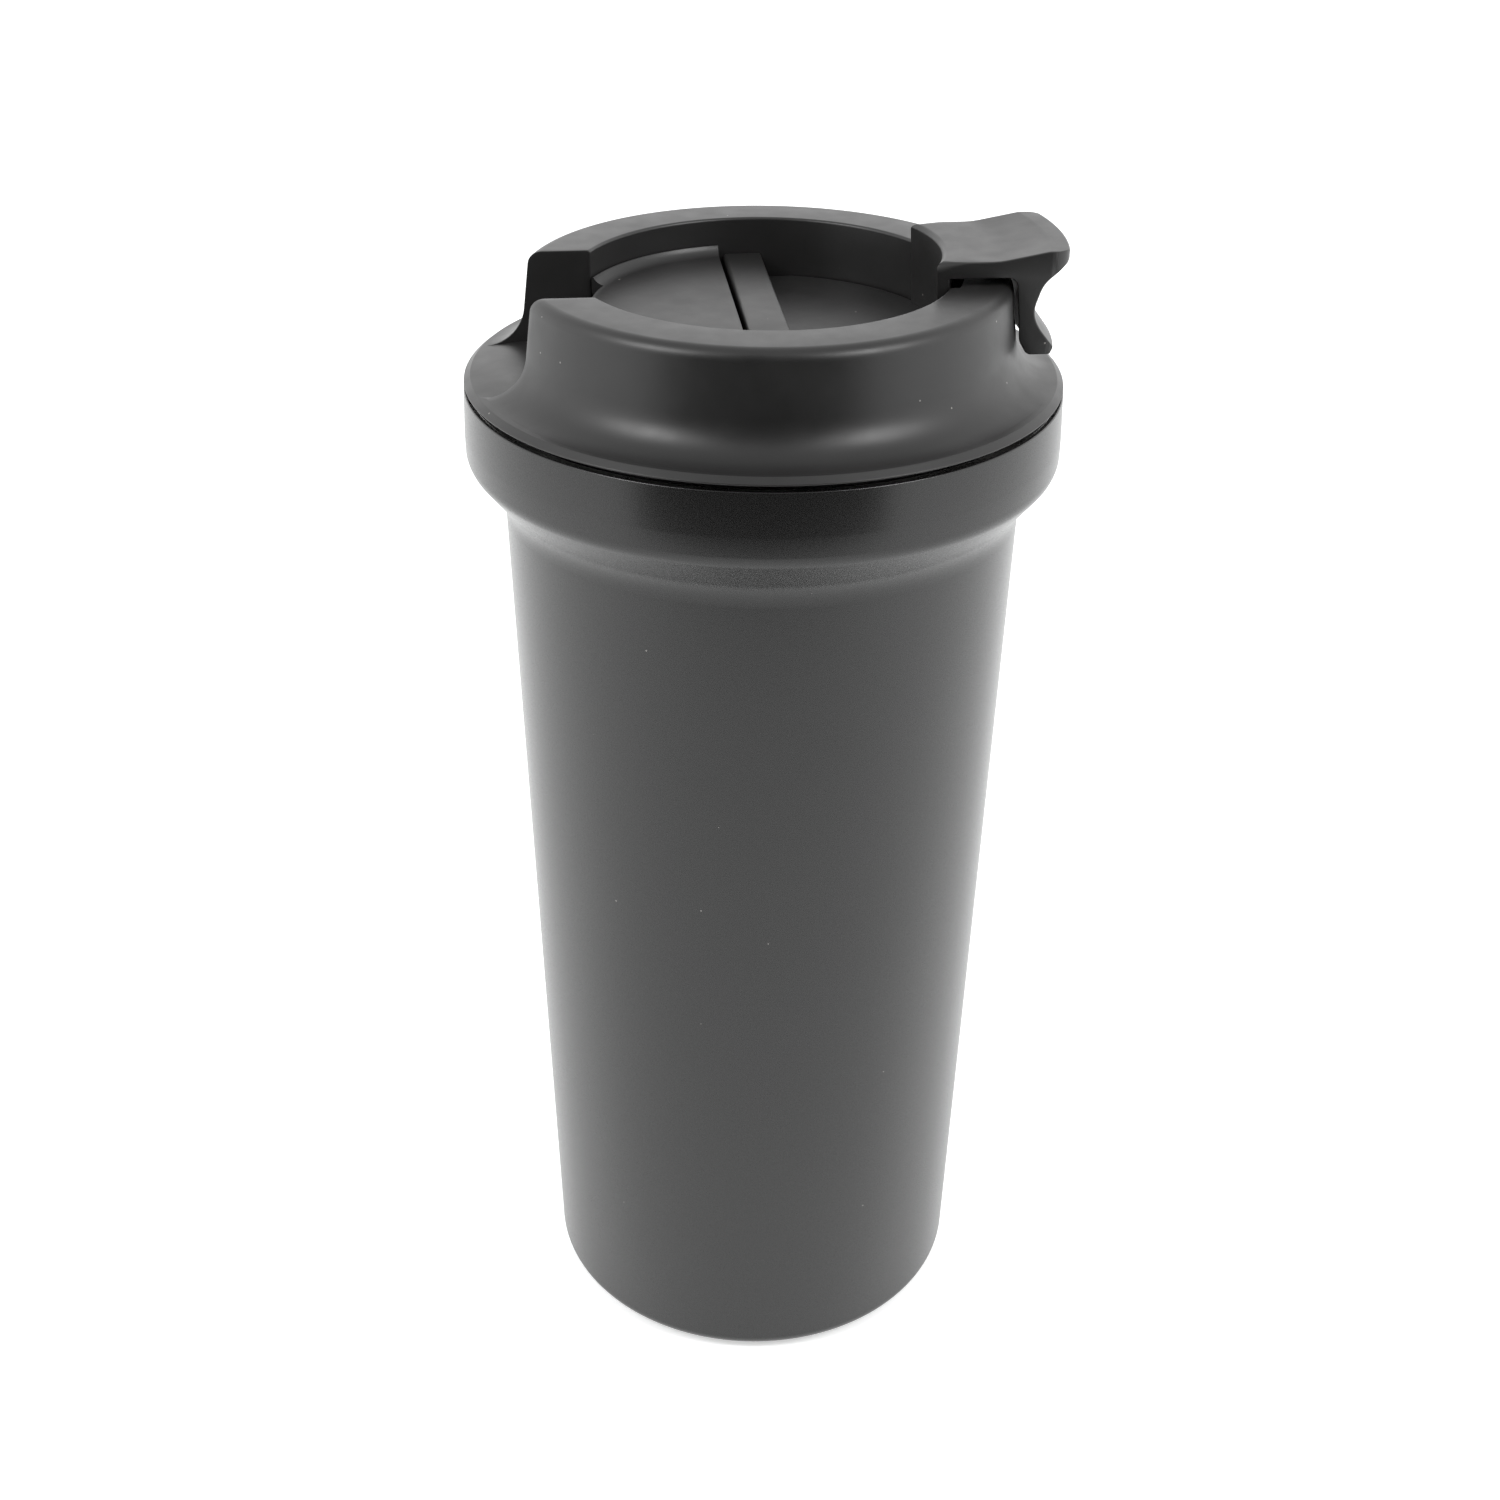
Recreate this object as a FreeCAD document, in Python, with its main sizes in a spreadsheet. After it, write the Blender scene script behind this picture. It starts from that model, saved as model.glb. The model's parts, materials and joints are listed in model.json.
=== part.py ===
import FreeCAD, Part
import Sketcher
import math
import os
import re

# Insulated travel mug with a screw-on lid and a flip lever.
# The mug stands on z = 0 with its axis on Z.  The lever's leg points along +X.
# All sizes are millimetres.

Vector = FreeCAD.Vector

SIZES = [
    # general: reach of a cutting tool past the material, gap between fitted mouldings
    ("tool_overrun", 1.0), ("moulding_gap", 0.1),
    # vessel
    ("shell_wall", 0.8), ("shell_lift", 0.8), ("foot_radius", 35.4), ("foot_rounding", 2.6),
    ("waist_radius", 39.15), ("waist_height", 145.4), ("cove_radius", 7.0), ("flare_angle", 39.0),
    ("shoulder_radius", 3.0), ("collar_radius", 44.6), ("collar_taper_start", 158.5),
    ("collar_top_radius", 44.35),
    ("liner_wall", 0.6), ("liner_floor", 7.0), ("liner_base_radius", 33.0), ("liner_corner", 6.0),
    ("liner_waist_radius", 36.4), ("step_low", 146.5), ("step_high", 154.5),
    ("neck_radius", 42.9), ("rim_radius", 43.5), ("rim_under", 164.5), ("rim_top", 165.0),
    ("foil_start", 18.0), ("foil_end", 143.0), ("foil_wall", 0.15), ("foil_gap", 0.05),
    ("cap_recess_radius", 29.4), ("cap_recess_height", 1.8), ("cap_ramp", 1.0),
    ("dimple_radius", 5.0), ("dimple_height", 3.2), ("evacuation_radius", 1.0),
    ("bead_radius", 2.4), ("getter_offset", 14.0), ("getter_radius", 5.0), ("getter_height", 1.4),
    ("cup_wall", 0.3), ("cup_height", 2.0),
    ("pad_radius", 32.4), ("pad_recess_radius", 24.0), ("pad_recess", 0.4), ("pad_rounding", 0.5),
    ("pad_top", 2.45), ("pad_gap", 0.05), ("pad_side_gap", 0.2),
    ("adhesive_wall", 0.15), ("adhesive_hole", 8.0),
    # lid mouldings
    ("lip_radius", 44.35), ("lip_bottom", 165.7), ("lip_edge", 0.25),
    ("flange_edge_radius", 43.3), ("flange_edge_height", 166.75), ("flange_slope", 8.5),
    ("sweep_radius", 6.5), ("ring_draft", 6.7),
    ("ring_outer_radius", 36.1), ("ring_outer_rounding", 2.0), ("ring_top", 181.2),
    ("ring_inner_radius", 27.3), ("ring_inner_rounding", 0.5), ("ring_inner_wall", 2.9),
    ("ring_cavity_outer", 33.4), ("ring_cavity_foot", 34.6), ("ring_cavity_bend", 170.0),
    ("ring_roof", 2.0), ("flange_seat_radius", 37.5), ("cavity_sweep", 306.0),
    ("deck_top", 167.5), ("deck_radius", 31.0), ("deck_wall", 2.0),
    ("notch_half_width", 11.3), ("riser_pocket_radius", 28.8), ("riser_pocket_half_width", 11.0),
    ("leg_relief_radius", 36.2), ("leg_relief_half_width", 11.3), ("leg_relief_floor", 170.6),
    ("skirt_radius", 41.0), ("skirt_inner_radius", 39.2), ("skirt_bottom", 155.4),
    ("seat_radius", 39.6), ("seat_height", 153.6), ("spigot_radius", 36.6),
    ("spigot_inner_radius", 34.8), ("spigot_bottom", 148.6), ("spigot_lip", 0.4),
    ("thread_crest", 0.9), ("thread_width", 2.2), ("thread_lead", 4.5), ("thread_start", 157.2),
    ("thread_rise", 5.4), ("thread_root", 0.4),
    ("channel_offset", 20.5), ("channel_radius", 3.2), ("channel_half_span", 4.8),
    ("channel_wall", 1.2), ("vent_offset", 8.0), ("vent_radius", 1.2),
    ("baffle_bottom", 147.2), ("baffle_wall", 1.5), ("baffle_radius", 35.8),
    ("baffle_bevel", 0.6), ("baffle_ring_wall", 1.2), ("baffle_ring_height", 1.0),
    ("foam_bottom", 150.2), ("foam_top", 162.0), ("foam_step", 156.0), ("foam_gap", 0.4),
    ("gasket_foot", 149.05), ("gasket_wall", 1.0), ("lower_fin_radius", 38.5),
    ("lower_fin_height", 150.1), ("upper_fin_radius", 40.2), ("upper_fin_height", 152.2),
    ("fin_wall", 0.6), ("fin_droop", 1.0),
    ("screw_circle_radius", 33.3), ("screw_radius", 1.1), ("screw_head_radius", 2.0),
    ("screw_head_height", 1.2), ("screw_length", 9.0), ("boss_radius", 2.1), ("boss_height", 10.5),
    # hinge cover
    ("cover_radius", 27.1), ("cover_top", 175.8), ("cover_wall", 1.2), ("cover_edge_top", 177.15),
    ("cover_edge_width", 0.3), ("cover_cove_radius", 24.4), ("cover_cove_bend", 3.375),
    ("cover_skirt_radius", 25.5),
    ("cover_front", 4.3), ("cover_skirt_front", 5.0), ("cover_notch_half_width", 10.95),
    # hinge and flap
    ("hinge_behind_axis", 0.5), ("hinge_height", 174.0), ("pin_radius", 0.8),
    ("pin_half_length", 29.8), ("pin_clearance", 0.05), ("knuckle_radius", 3.0),
    ("bar_front", 2.4), ("bar_half_length", 26.5), ("bar_rounding", 0.6),
    ("flap_radius", 26.8), ("plate_half_width", 25.6), ("plate_bottom", 170.8),
    ("plate_top", 172.3), ("lever_half_width", 10.6), ("lever_corner", 3.0),
    ("lever_root", 4.0), ("lever_bevel", 0.4), ("head_swell", 0.1),
    ("riser_inner_radius", 25.4), ("riser_foot_radius", 26.0), ("riser_outer_radius", 27.2),
    ("head_under", 182.3), ("head_top", 184.65), ("head_rise_start", 34.0),
    ("head_tip_top", 185.95), ("head_tip_radius", 42.6), ("head_end_radius", 43.6),
    ("head_end_height", 184.4), ("head_top_bend", 25.4),
    ("leg_inner_radius", 36.65), ("leg_fillet", 1.5), ("leg_bend_height", 175.2),
    ("leg_bend_radius", 37.05), ("toe_heel_radius", 39.2), ("toe_bottom", 170.9),
    ("toe_bend", 8.0), ("toe_tip_radius", 42.25), ("toe_tip_height", 171.9),
    ("leg_neck_radius", 39.2), ("leg_neck_height", 176.8), ("leg_lower_bend", 10.0),
    ("leg_upper_bend", 8.6), ("tip_under_radius", 43.2), ("tip_under_height", 183.9),
    ("seal_foot_gap", 0.15), ("seal_flange_radius", 4.4), ("seal_plug_radius", 2.5),
    ("seal_plug_depth", 1.2), ("vent_seal_radius", 2.0), ("vent_tip_radius", 0.7),
    ("vent_tip_depth", 0.4),
]

doc = FreeCAD.newDocument("travel_mug")
sheet = doc.addObject("Spreadsheet::Sheet", "Sizes")
for row, (alias, value) in enumerate(SIZES, start=1):
    sheet.set("A%d" % row, alias)
    sheet.set("B%d" % row, str(value))
    sheet.setAlias("B%d" % row, alias)
doc.recompute()

ALIASES = {alias for alias, value in SIZES}


def dim(text):
    """Expression in which every word that is a sheet alias points at the sheet."""
    def point_at_sheet(match):
        word = match.group(0)
        return "Sizes." + word if word in ALIASES else word
    return re.sub("[a-z_]+", point_at_sheet, text)


def number(text):
    """Value of an expression in plain millimetres or degrees."""
    return float(sheet.evalExpression(dim(text)))


def origin_plane(body, role):
    return [feature for feature in body.Origin.OriginFeatures if feature.Role == role][0]


def arc_between(start, end, radius, turn):
    """Minor arc from start to end; turn is +1 where it runs counterclockwise."""
    middle = (start + end) * 0.5
    chord = end - start
    side = Vector(-chord.y, chord.x, 0).normalize()
    reach = math.sqrt(max(radius ** 2 - (chord.Length / 2) ** 2, 0))
    centre = middle + side * (reach * turn)
    first, last = (start, end) if turn > 0 else (end, start)
    begin = math.atan2(first.y - centre.y, first.x - centre.x)
    finish = math.atan2(last.y - centre.y, last.x - centre.x)
    circle = Part.Circle(centre, Vector(0, 0, 1), radius)
    return Part.ArcOfCircle(circle, begin, finish)


def outline(body, plane, points):
    """Closed sketch.  A point is (x, y), or (x, y, radius, turn) where an arc leaves it."""
    sketch = body.newObject("Sketcher::SketchObject", body.Name + "_sketch")
    sketch.AttachmentSupport = (origin_plane(body, plane), "")
    sketch.MapMode = "FlatFace"
    corners = [Vector(number(point[0]), number(point[1]), 0) for point in points]
    ends = []
    for index, point in enumerate(points):
        start, end = corners[index], corners[(index + 1) % len(points)]
        if len(point) == 4:
            sketch.addGeometry(arc_between(start, end, number(point[2]), point[3]), False)
            ends.append((1, 2) if point[3] > 0 else (2, 1))
        else:
            sketch.addGeometry(Part.LineSegment(start, end), False)
            ends.append((1, 2))
    for index in range(len(points)):
        after = (index + 1) % len(points)
        sketch.addConstraint(
            Sketcher.Constraint("Coincident", index, ends[index][1], after, ends[after][0]))
    for index, point in enumerate(points):
        place_corner(sketch, index, ends[index][0], "X", point[0], corners[index].x)
        place_corner(sketch, index, ends[index][0], "Y", point[1], corners[index].y)
        if len(point) == 4:
            bound(sketch, Sketcher.Constraint("Radius", index, number(point[2])), point[2])
    return sketch


def place_corner(sketch, edge, end, direction, expression, value):
    """Fixes one coordinate of a corner, on the axis itself where the value is zero."""
    if abs(value) < 1e-9:
        axis = -2 if direction == "X" else -1
        sketch.addConstraint(Sketcher.Constraint("PointOnObject", edge, end, axis))
    else:
        rule = Sketcher.Constraint("Distance" + direction, -1, 1, edge, end, value)
        bound(sketch, rule, expression)


def bound(sketch, rule, expression):
    index = sketch.addConstraint(rule)
    sketch.renameConstraint(index, "size%d" % index)
    sketch.setExpression("Constraints.size%d" % index, dim(expression))


def turned(name, points):
    """Body turned about Z from an outline of (radius, height) points."""
    body = doc.addObject("PartDesign::Body", name)
    sketch = outline(body, "XZ_Plane", points)
    turn = body.newObject("PartDesign::Revolution", name + "_turn")
    turn.Profile = sketch
    turn.ReferenceAxis = (sketch, ["V_Axis"])
    turn.Angle = 360
    return body


def block(name, low, high):
    """Box between two corners, each a triple of expressions."""
    box = doc.addObject("Part::Box", name)
    for side, start, end, base in zip(("Length", "Width", "Height"), low, high, "xyz"):
        box.setExpression(side, dim("( %s ) - ( %s )" % (end, start)))
        box.setExpression("Placement.Base." + base, dim(start))
    return box


def rod(name, radius, low, high, x="0", y="0"):
    """Upright cylinder between two heights."""
    cylinder = doc.addObject("Part::Cylinder", name)
    cylinder.setExpression("Radius", dim(radius))
    cylinder.setExpression("Height", dim("( %s ) - ( %s )" % (high, low)))
    cylinder.setExpression("Placement.Base.x", dim(x))
    cylinder.setExpression("Placement.Base.y", dim(y))
    cylinder.setExpression("Placement.Base.z", dim(low))
    return cylinder


def cross_rod(name, radius, half_length):
    """Cylinder along Y on the hinge axis."""
    cylinder = doc.addObject("Part::Cylinder", name)
    turn = FreeCAD.Rotation(Vector(1, 0, 0), -90)
    start = Vector(number("-hinge_behind_axis"), number("-( %s )" % half_length),
                   number("hinge_height"))
    cylinder.Placement = FreeCAD.Placement(start, turn)
    cylinder.setExpression("Radius", dim(radius))
    cylinder.setExpression("Height", dim("2 * ( %s )" % half_length))
    cylinder.setExpression("Placement.Base.x", dim("- hinge_behind_axis"))
    cylinder.setExpression("Placement.Base.y", dim("- ( %s )" % half_length))
    cylinder.setExpression("Placement.Base.z", dim("hinge_height"))
    return cylinder


def fused(name, shapes):
    union = doc.addObject("Part::MultiFuse", name)
    union.Shapes = shapes
    return union


def shared(name, shapes):
    common = doc.addObject("Part::MultiCommon", name)
    common.Shapes = shapes
    return common


def cut(name, base, tool):
    rest = doc.addObject("Part::Cut", name)
    rest.Base = base
    rest.Tool = tool
    return rest


def slot_block(name, radius, low, high):
    """Upright block with round ends over the drink channel, long along Y."""
    ends = [
        rod("%s_end_%s" % (name, side), radius, low, high, "channel_offset",
            "%s channel_half_span" % sign)
        for side, sign in (("left", "-"), ("right", ""))
    ]
    middle = block(
        name + "_middle",
        ("channel_offset - ( %s )" % radius, "- channel_half_span", low),
        ("channel_offset + ( %s )" % radius, "channel_half_span", high))
    return fused(name, ends + [middle])


# ---- vessel ----

FLARE = "( flare_angle * 1 deg )"
COVE_TOP_RADIUS = "( waist_radius + cove_radius * ( 1 - cos%s ) )" % FLARE
COVE_TOP_HEIGHT = "( waist_height + cove_radius * sin%s )" % FLARE
SHOULDER_LOW_RADIUS = "( collar_radius - shoulder_radius * ( 1 - cos%s ) )" % FLARE
SHOULDER_LOW_HEIGHT = "( %s + ( %s - %s ) / tan%s )" % (
    COVE_TOP_HEIGHT, SHOULDER_LOW_RADIUS, COVE_TOP_RADIUS, FLARE)
SHOULDER_TOP_HEIGHT = "( %s + shoulder_radius * sin%s )" % (SHOULDER_LOW_HEIGHT, FLARE)


def make_outer_shell():
    """Conical shell with a rounded, open foot and a wider collar."""
    return turned("outer_shell", [
        ("foot_radius - foot_rounding", "shell_lift", "foot_rounding", 1),
        ("foot_radius", "shell_lift + foot_rounding"),
        ("waist_radius", "waist_height", "cove_radius", -1),
        (COVE_TOP_RADIUS, COVE_TOP_HEIGHT),
        (SHOULDER_LOW_RADIUS, SHOULDER_LOW_HEIGHT, "shoulder_radius", 1),
        ("collar_radius", SHOULDER_TOP_HEIGHT),
        ("collar_radius", "collar_taper_start"),
        ("collar_top_radius", "rim_top"),
        ("collar_top_radius - shell_wall", "rim_top"),
        ("collar_radius - shell_wall", "collar_taper_start"),
        ("collar_radius - shell_wall", SHOULDER_TOP_HEIGHT, "shoulder_radius", -1),
        (SHOULDER_LOW_RADIUS + " - shell_wall", SHOULDER_LOW_HEIGHT),
        (COVE_TOP_RADIUS + " - shell_wall", COVE_TOP_HEIGHT, "cove_radius", 1),
        ("waist_radius - shell_wall", "waist_height"),
        ("foot_radius - shell_wall", "shell_lift + foot_rounding",
         "foot_rounding - shell_wall", -1),
        ("foot_radius - foot_rounding", "shell_lift + shell_wall"),
    ])


def make_inner_liner():
    """Drinking vessel with a stepped neck and a rim that closes the gap to the shell."""
    return turned("inner_liner", [
        ("0", "liner_floor"),
        ("liner_base_radius - liner_corner", "liner_floor", "liner_corner", 1),
        ("liner_base_radius", "liner_floor + liner_corner"),
        ("liner_waist_radius", "step_low"),
        ("neck_radius", "step_high"),
        ("neck_radius", "rim_under"),
        ("rim_radius", "rim_under"),
        ("rim_radius", "rim_top"),
        ("neck_radius - liner_wall", "rim_top"),
        ("neck_radius - liner_wall", "step_high"),
        ("liner_waist_radius - liner_wall", "step_low"),
        ("liner_base_radius - liner_wall", "liner_floor + liner_corner",
         "liner_corner - liner_wall", -1),
        ("liner_base_radius - liner_corner", "liner_floor + liner_wall"),
        ("0", "liner_floor + liner_wall"),
    ])


def liner_radius_at(height):
    """Outer radius of the liner's cone at a height."""
    return ("( liner_base_radius + ( liner_waist_radius - liner_base_radius )"
            " * ( %s - liner_floor - liner_corner ) / ( step_low - liner_floor - liner_corner ) )"
            % height)


def make_reflective_foil():
    """Foil wrapped round the liner inside the vacuum space."""
    low, high = liner_radius_at("foil_start"), liner_radius_at("foil_end")
    return turned("reflective_foil", [
        (low + " + foil_gap", "foil_start"),
        (low + " + foil_gap + foil_wall", "foil_start"),
        (high + " + foil_gap + foil_wall", "foil_end"),
        (high + " + foil_gap", "foil_end"),
    ])


def make_bottom_cap():
    """Welded base plate, raised in the middle, with a dimple round the evacuation hole."""
    rim = "foot_radius - foot_rounding"
    recess = "( shell_lift + cap_recess_height )"
    dimple = "( shell_lift + dimple_height )"
    return turned("bottom_cap", [
        ("evacuation_radius", dimple),
        ("dimple_radius", dimple),
        ("dimple_radius + cap_ramp", recess),
        ("cap_recess_radius", recess),
        ("cap_recess_radius + cap_ramp", "shell_lift"),
        (rim, "shell_lift"),
        (rim, "shell_lift + shell_wall"),
        ("cap_recess_radius + cap_ramp + shell_wall / 2", "shell_lift + shell_wall"),
        ("cap_recess_radius + shell_wall / 2", recess + " + shell_wall"),
        ("dimple_radius + cap_ramp + shell_wall / 2", recess + " + shell_wall"),
        ("dimple_radius + shell_wall / 2", dimple + " + shell_wall"),
        ("evacuation_radius", dimple + " + shell_wall"),
    ])


def make_vacuum_seal_bead():
    """Glass bead that fills the evacuation hole from below."""
    under = "( shell_lift + dimple_height )"
    return turned("vacuum_seal_bead", [
        ("0", under + " - shell_wall"),
        ("bead_radius / 2", under + " - shell_wall"),
        ("bead_radius", under),
        ("evacuation_radius", under),
        ("evacuation_radius", under + " + shell_wall"),
        ("0", under + " + shell_wall"),
    ])


def make_getter_cup():
    """Open cup spot-welded under the liner's floor."""
    low, high = "( liner_floor - cup_height )", "liner_floor"
    outer = rod("cup_outside", "getter_radius + 2 * cup_wall", low, high, "getter_offset")
    inner = rod("cup_inside", "getter_radius + cup_wall", low + " + cup_wall", high,
                "getter_offset")
    window = rod("cup_window", "getter_radius / 2", low + " - tool_overrun", high,
                 "getter_offset")
    return cut("getter_cup", outer, fused("cup_hollow", [inner, window]))


def make_getter():
    low = "( liner_floor - cup_height + cup_wall )"
    return rod("getter", "getter_radius", low, low + " + getter_height", "getter_offset")


def make_pad_adhesive():
    return turned("pad_adhesive", [
        ("adhesive_hole", "pad_top"),
        ("cap_recess_radius - pad_side_gap", "pad_top"),
        ("cap_recess_radius - pad_side_gap", "pad_top + adhesive_wall"),
        ("adhesive_hole", "pad_top + adhesive_wall"),
    ])


def make_base_pad():
    """Silicone pad that fills the base plate's recess and carries the mug on a flat ring."""
    return turned("base_pad", [
        ("0", "pad_recess"),
        ("pad_recess_radius", "pad_recess"),
        ("pad_recess_radius + pad_recess", "0"),
        ("pad_radius - pad_rounding", "0", "pad_rounding", 1),
        ("pad_radius", "pad_rounding"),
        ("pad_radius", "shell_lift - pad_gap"),
        ("cap_recess_radius + cap_ramp - pad_side_gap", "shell_lift - pad_gap"),
        ("cap_recess_radius - pad_side_gap", "pad_top"),
        ("0", "pad_top"),
    ])


# ---- lid ----

SCREWS = 4
DRAFT = "( ring_draft * 1 deg )"
SLOPE = "( flange_slope * 1 deg )"
# Where the ring's drafted wall and the sloping flange would meet without the sweep.
SWEEP_HEIGHT = (
    "( ( flange_edge_height + ( flange_edge_radius - ring_outer_radius"
    " - ( ring_top - ring_outer_rounding ) * tan%s ) * tan%s ) / ( 1 - tan%s * tan%s ) )"
    % (DRAFT, SLOPE, DRAFT, SLOPE))
SWEEP_CORNER = ("( flange_edge_radius - ( %s - flange_edge_height ) / tan%s )"
                % (SWEEP_HEIGHT, SLOPE))
SWEEP_REACH = "( sweep_radius * tan( ( 90 deg - %s - %s ) / 2 ) )" % (DRAFT, SLOPE)
ABOVE_RING = "( ring_top + tool_overrun )"


def screw_rod(name, index, radius, low, high):
    """Upright cylinder at one of the four screw places."""
    turn = "( %d * 360 deg / %d )" % (2 * index + 1, 2 * SCREWS)
    return rod("%s_%d" % (name, index), radius, low, high,
               "screw_circle_radius * cos%s" % turn, "screw_circle_radius * sin%s" % turn)


def make_ring_hollow():
    """Space inside the ring, left out of the sector that holds the notch."""
    body = doc.addObject("PartDesign::Body", "ring_hollow")
    inner = "ring_inner_radius + ring_inner_wall"
    sketch = outline(body, "XZ_Plane", [
        (inner, "lip_bottom - tool_overrun"),
        ("flange_seat_radius", "lip_bottom - tool_overrun"),
        ("flange_seat_radius", "lip_bottom"),
        ("ring_cavity_foot", "ring_cavity_bend"),
        ("ring_cavity_outer", "ring_top - ring_roof"),
        (inner, "ring_top - ring_roof"),
    ])
    turn = body.newObject("PartDesign::Revolution", "ring_hollow_turn")
    turn.Profile = sketch
    turn.ReferenceAxis = (sketch, ["V_Axis"])
    turn.Midplane = True
    turn.setExpression("Angle", dim("cavity_sweep"))
    return body


def make_lid_skin():
    """Lip, flange, concave sweep and raised hollow ring, with the screw bosses inside."""
    skin = turned("lid_skin", [
        ("deck_radius + moulding_gap", "lip_bottom"),
        ("lip_radius - lip_edge", "lip_bottom"),
        ("lip_radius", "lip_bottom + lip_edge"),
        ("flange_edge_radius", "flange_edge_height"),
        ("%s + %s * cos%s" % (SWEEP_CORNER, SWEEP_REACH, SLOPE),
         "%s - %s * sin%s" % (SWEEP_HEIGHT, SWEEP_REACH, SLOPE), "sweep_radius", -1),
        ("%s - %s * sin%s" % (SWEEP_CORNER, SWEEP_REACH, DRAFT),
         "%s + %s * cos%s" % (SWEEP_HEIGHT, SWEEP_REACH, DRAFT)),
        ("ring_outer_radius", "ring_top - ring_outer_rounding", "ring_outer_rounding", 1),
        ("ring_outer_radius - ring_outer_rounding", "ring_top"),
        ("ring_inner_radius + ring_inner_rounding", "ring_top", "ring_inner_rounding", 1),
        ("ring_inner_radius", "ring_top - ring_inner_rounding"),
        ("ring_inner_radius", "deck_top"),
        ("deck_radius + moulding_gap", "deck_top"),
    ])
    bosses = [screw_rod("boss", index, "boss_radius", "lip_bottom", "lip_bottom + boss_height")
              for index in range(SCREWS)]
    hollowed = cut("lid_skin_hollowed", skin, make_ring_hollow())
    return fused("lid_skin_with_bosses", [hollowed] + bosses)


def make_lever_room():
    """Tools that clear the ring round the closed lever: behind its riser and inside its leg."""
    riser_pocket = shared("riser_pocket", [
        rod("riser_pocket_round", "riser_pocket_radius", "deck_top", ABOVE_RING),
        block("riser_pocket_width", ("0", "- riser_pocket_half_width", "deck_top"),
              ("lip_radius", "riser_pocket_half_width", ABOVE_RING)),
    ])
    leg_relief = cut(
        "leg_relief",
        block("leg_relief_width", ("0", "- leg_relief_half_width", "leg_relief_floor"),
              ("lip_radius", "leg_relief_half_width", ABOVE_RING)),
        rod("leg_relief_core", "leg_relief_radius", "leg_relief_floor - tool_overrun",
            ABOVE_RING + " + tool_overrun"))
    return [riser_pocket, leg_relief]


def make_lid_shell():
    """Lid skin, open at the notch and slotted from below for the hinge pin's ends."""
    notch = block("notch", ("- lip_radius - tool_overrun", "- notch_half_width", "deck_top"),
                  ("- ring_inner_radius / 2", "notch_half_width", ABOVE_RING))
    pin_slot = fused("pin_slot", [
        cross_rod("pin_slot_end", "pin_radius", "pin_half_length"),
        block("pin_slot_way", ("- hinge_behind_axis - pin_radius", "- pin_half_length",
                               "deck_top - tool_overrun"),
              ("- hinge_behind_axis + pin_radius", "pin_half_length", "hinge_height")),
    ])
    pilots = [screw_rod("pilot", index, "screw_radius", "lip_bottom - tool_overrun",
                        "lip_bottom - deck_wall + screw_length + tool_overrun")
              for index in range(SCREWS)]
    tools = fused("lid_shell_cuts", [notch, pin_slot] + make_lever_room() + pilots)
    return cut("lid_shell", make_lid_skin(), tools)


def make_thread():
    """Helical ridge on the skirt."""
    spine = doc.addObject("Part::Helix", "thread_path")
    spine.setExpression("Pitch", "Sizes.thread_lead")
    spine.setExpression("Height", "Sizes.thread_rise")
    spine.setExpression("Radius", "Sizes.skirt_radius")
    spine.setExpression("Placement.Base.z", "Sizes.thread_start")
    ridge = doc.addObject("Sketcher::SketchObject", "thread_section")
    ridge.Placement = FreeCAD.Placement(Vector(0, 0, 0), FreeCAD.Rotation(Vector(1, 0, 0), 90))
    corners = [
        ("skirt_radius - thread_root", "thread_start - thread_width / 2"),
        ("skirt_radius + thread_crest", "thread_start - thread_width / 6"),
        ("skirt_radius + thread_crest", "thread_start + thread_width / 6"),
        ("skirt_radius - thread_root", "thread_start + thread_width / 2"),
    ]
    places = [Vector(number(x), number(y), 0) for x, y in corners]
    for index in range(len(places)):
        ridge.addGeometry(Part.LineSegment(places[index], places[(index + 1) % 4]), False)
    for index in range(len(places)):
        ridge.addConstraint(Sketcher.Constraint("Coincident", index, 2, (index + 1) % 4, 1))
        place_corner(ridge, index, 1, "X", corners[index][0], places[index].x)
        place_corner(ridge, index, 1, "Y", corners[index][1], places[index].y)
    sweep = doc.addObject("Part::Sweep", "thread")
    sweep.Sections = [ridge]
    sweep.Spine = (spine, [])
    sweep.Solid = True
    sweep.Frenet = True
    return sweep


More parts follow.
